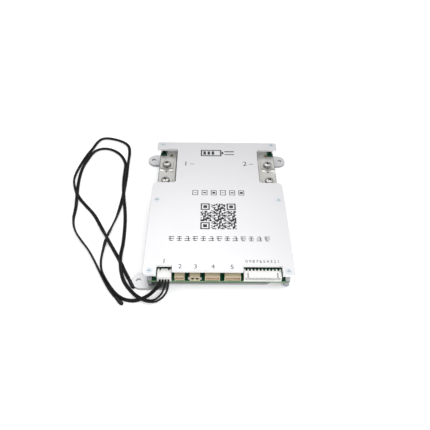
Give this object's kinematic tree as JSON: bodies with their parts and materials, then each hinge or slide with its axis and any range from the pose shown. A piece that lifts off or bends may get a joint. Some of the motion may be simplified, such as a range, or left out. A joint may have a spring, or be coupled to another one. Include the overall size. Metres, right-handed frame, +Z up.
{
  "type": "battery management board",
  "caption": "Flat battery management board between two aluminium sheets, with eared base, screw terminals, edge connectors and thermistor leads.",
  "frame": {"origin": "centre of the footprint of the board with its ears, at the underside of the base plate", "axes": "+X to the right seen from the connector edge, +Y to the terminal end, +Z up through the cover"},
  "size_m": [0.1883, 0.1899, 0.017],
  "materials": {
    "cover_metal": "satin anodised sheet, pale silver",
    "base_metal": "satin anodised sheet, pale silver",
    "solder_mask": "green solder mask over glass-fibre board",
    "spacer_metal": "nickel-plated",
    "screw_steel": "bluish zinc plate",
    "tinned_copper": "dull tin plate over copper",
    "terminal_steel": "nickel-plated",
    "solder": "bright solder",
    "brass": "bare brass",
    "copper": "bare copper, a little tarnished",
    "header_white": "white nylon",
    "plug_white": "white nylon",
    "socket_beige": "beige high-heat nylon",
    "contact_metal": "gold-flashed phosphor bronze",
    "pin_tin": "tinned square wire",
    "moulded_black": "black epoxy moulding",
    "pad_grey": "soft silicone heat-transfer pad",
    "shield_metal": "nickel silver can",
    "capacitor_can": "bare can on a black base",
    "lead_black": "soft black insulation",
    "bead_black": "black epoxy bead"
  },
  "bodies": {
    "root": {"top_cover": "cover_metal", "base_plate": "base_metal", "circuit_board": "solder_mask", "upper_spacers": "spacer_metal", "lower_spacers": "spacer_metal", "cover_screws": "screw_steel", "base_screws": "screw_steel", "foot_screw": "screw_steel", "left_terminal_bar": "tinned_copper", "right_terminal_bar": "tinned_copper", "clamp_plates": "tinned_copper", "terminal_washers": "terminal_steel", "terminal_screws": "terminal_steel", "terminal_nuts": "terminal_steel", "terminal_posts": "solder", "terminal_eyelets": "brass", "cell_header": "header_white", "cell_pins": "pin_tin", "temperature_header": "header_white", "temperature_plug": "plug_white", "temperature_pins": "pin_tin", "data_socket": "socket_beige", "display_socket": "socket_beige", "heater_socket": "socket_beige", "gps_socket": "socket_beige", "gps_side_tabs": "pin_tin", "socket_contacts": "contact_metal", "power_transistors": "moulded_black", "transistor_leads": "pin_tin", "heat_pad": "pad_grey", "left_copper_plate": "copper", "right_copper_plate": "copper", "shunt_resistors": "moulded_black", "control_chips": "moulded_black", "chip_leads": "pin_tin", "radio_board": "solder_mask", "radio_shield": "shield_metal", "power_inductor": "moulded_black", "filter_capacitors": "capacitor_can", "balancing_resistors": "moulded_black", "thermistor_lead_a": "lead_black", "thermistor_lead_b": "lead_black", "thermistor_bead_a": "bead_black", "thermistor_bead_b": "bead_black"}
  },
  "joints": []
}
